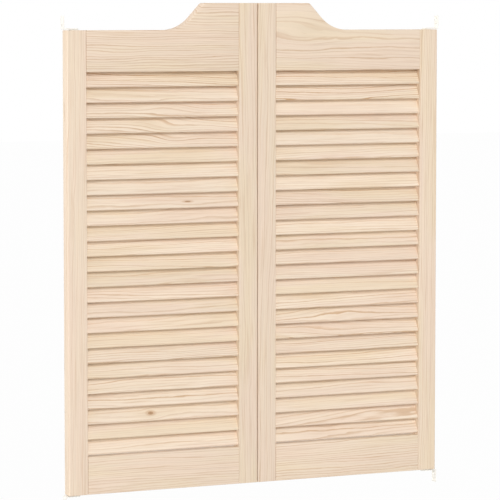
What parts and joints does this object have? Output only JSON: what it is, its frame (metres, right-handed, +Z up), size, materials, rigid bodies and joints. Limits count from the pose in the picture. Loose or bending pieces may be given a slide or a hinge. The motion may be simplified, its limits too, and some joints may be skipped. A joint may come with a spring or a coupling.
{
  "type": "cafe swinging doors",
  "caption": "Louvred swinging cafe doors in pale unfinished pine with an arched top, each leaf turning both ways on top and foot pivots held by jamb brackets.",
  "frame": {"origin": "bottom centre of the whole pair, midway between the jambs and midway through the leaves", "axes": "+X to the right seen from the front, +Y to the back, +Z up; the low edges of the slats face -Y"},
  "size_m": [0.9144, 0.0286, 1.0983],
  "materials": {
    "frame_pine": "bare sanded pine",
    "slat_pine": "bare sanded pine",
    "ivory_steel": "satin ivory powder coat",
    "nylon": "natural nylon"
  },
  "bodies": {
    "jamb_brackets": {"left_foot_bracket": "ivory_steel", "left_top_bracket": "ivory_steel", "right_foot_bracket": "ivory_steel", "right_top_bracket": "ivory_steel"},
    "left_leaf": {"left_hinge_stile": "frame_pine", "left_meeting_stile": "frame_pine", "left_top_rail": "frame_pine", "left_bottom_rail": "frame_pine", "left_slat_01": "slat_pine", "left_slat_02": "slat_pine", "left_slat_03": "slat_pine", "left_slat_04": "slat_pine", "left_slat_05": "slat_pine", "left_slat_06": "slat_pine", "left_slat_07": "slat_pine", "left_slat_08": "slat_pine", "left_slat_09": "slat_pine", "left_slat_10": "slat_pine", "left_slat_11": "slat_pine", "left_slat_12": "slat_pine", "left_slat_13": "slat_pine", "left_slat_14": "slat_pine", "left_slat_15": "slat_pine", "left_slat_16": "slat_pine", "left_slat_17": "slat_pine", "left_slat_18": "slat_pine", "left_slat_19": "slat_pine", "left_slat_20_21": "slat_pine", "left_slat_22_23": "slat_pine", "left_slat_24_25": "slat_pine", "left_foot_bush": "nylon", "left_top_bush": "nylon"},
    "right_leaf": {"right_hinge_stile": "frame_pine", "right_meeting_stile": "frame_pine", "right_top_rail": "frame_pine", "right_bottom_rail": "frame_pine", "right_slat_01": "slat_pine", "right_slat_02": "slat_pine", "right_slat_03": "slat_pine", "right_slat_04": "slat_pine", "right_slat_05": "slat_pine", "right_slat_06": "slat_pine", "right_slat_07": "slat_pine", "right_slat_08": "slat_pine", "right_slat_09": "slat_pine", "right_slat_10": "slat_pine", "right_slat_11": "slat_pine", "right_slat_12": "slat_pine", "right_slat_13": "slat_pine", "right_slat_14": "slat_pine", "right_slat_15": "slat_pine", "right_slat_16": "slat_pine", "right_slat_17": "slat_pine", "right_slat_18": "slat_pine", "right_slat_19": "slat_pine", "right_slat_20_21": "slat_pine", "right_slat_22_23": "slat_pine", "right_slat_24_25": "slat_pine", "right_foot_bush": "nylon", "right_top_bush": "nylon"}
  },
  "joints": [
    {"name": "left_leaf_swing", "type": "hinge", "parent": "jamb_brackets", "child": "left_leaf", "pos_m": [-0.42878, 0, 0], "axis": [0, 0, 1], "range_deg": [-90, 90], "stiffness_Nm_per_rad": 1.5},
    {"name": "right_leaf_swing", "type": "hinge", "parent": "jamb_brackets", "child": "right_leaf", "pos_m": [0.42878, 0, 0], "axis": [0, 0, -1], "range_deg": [-90, 90], "stiffness_Nm_per_rad": 1.5}
  ]
}
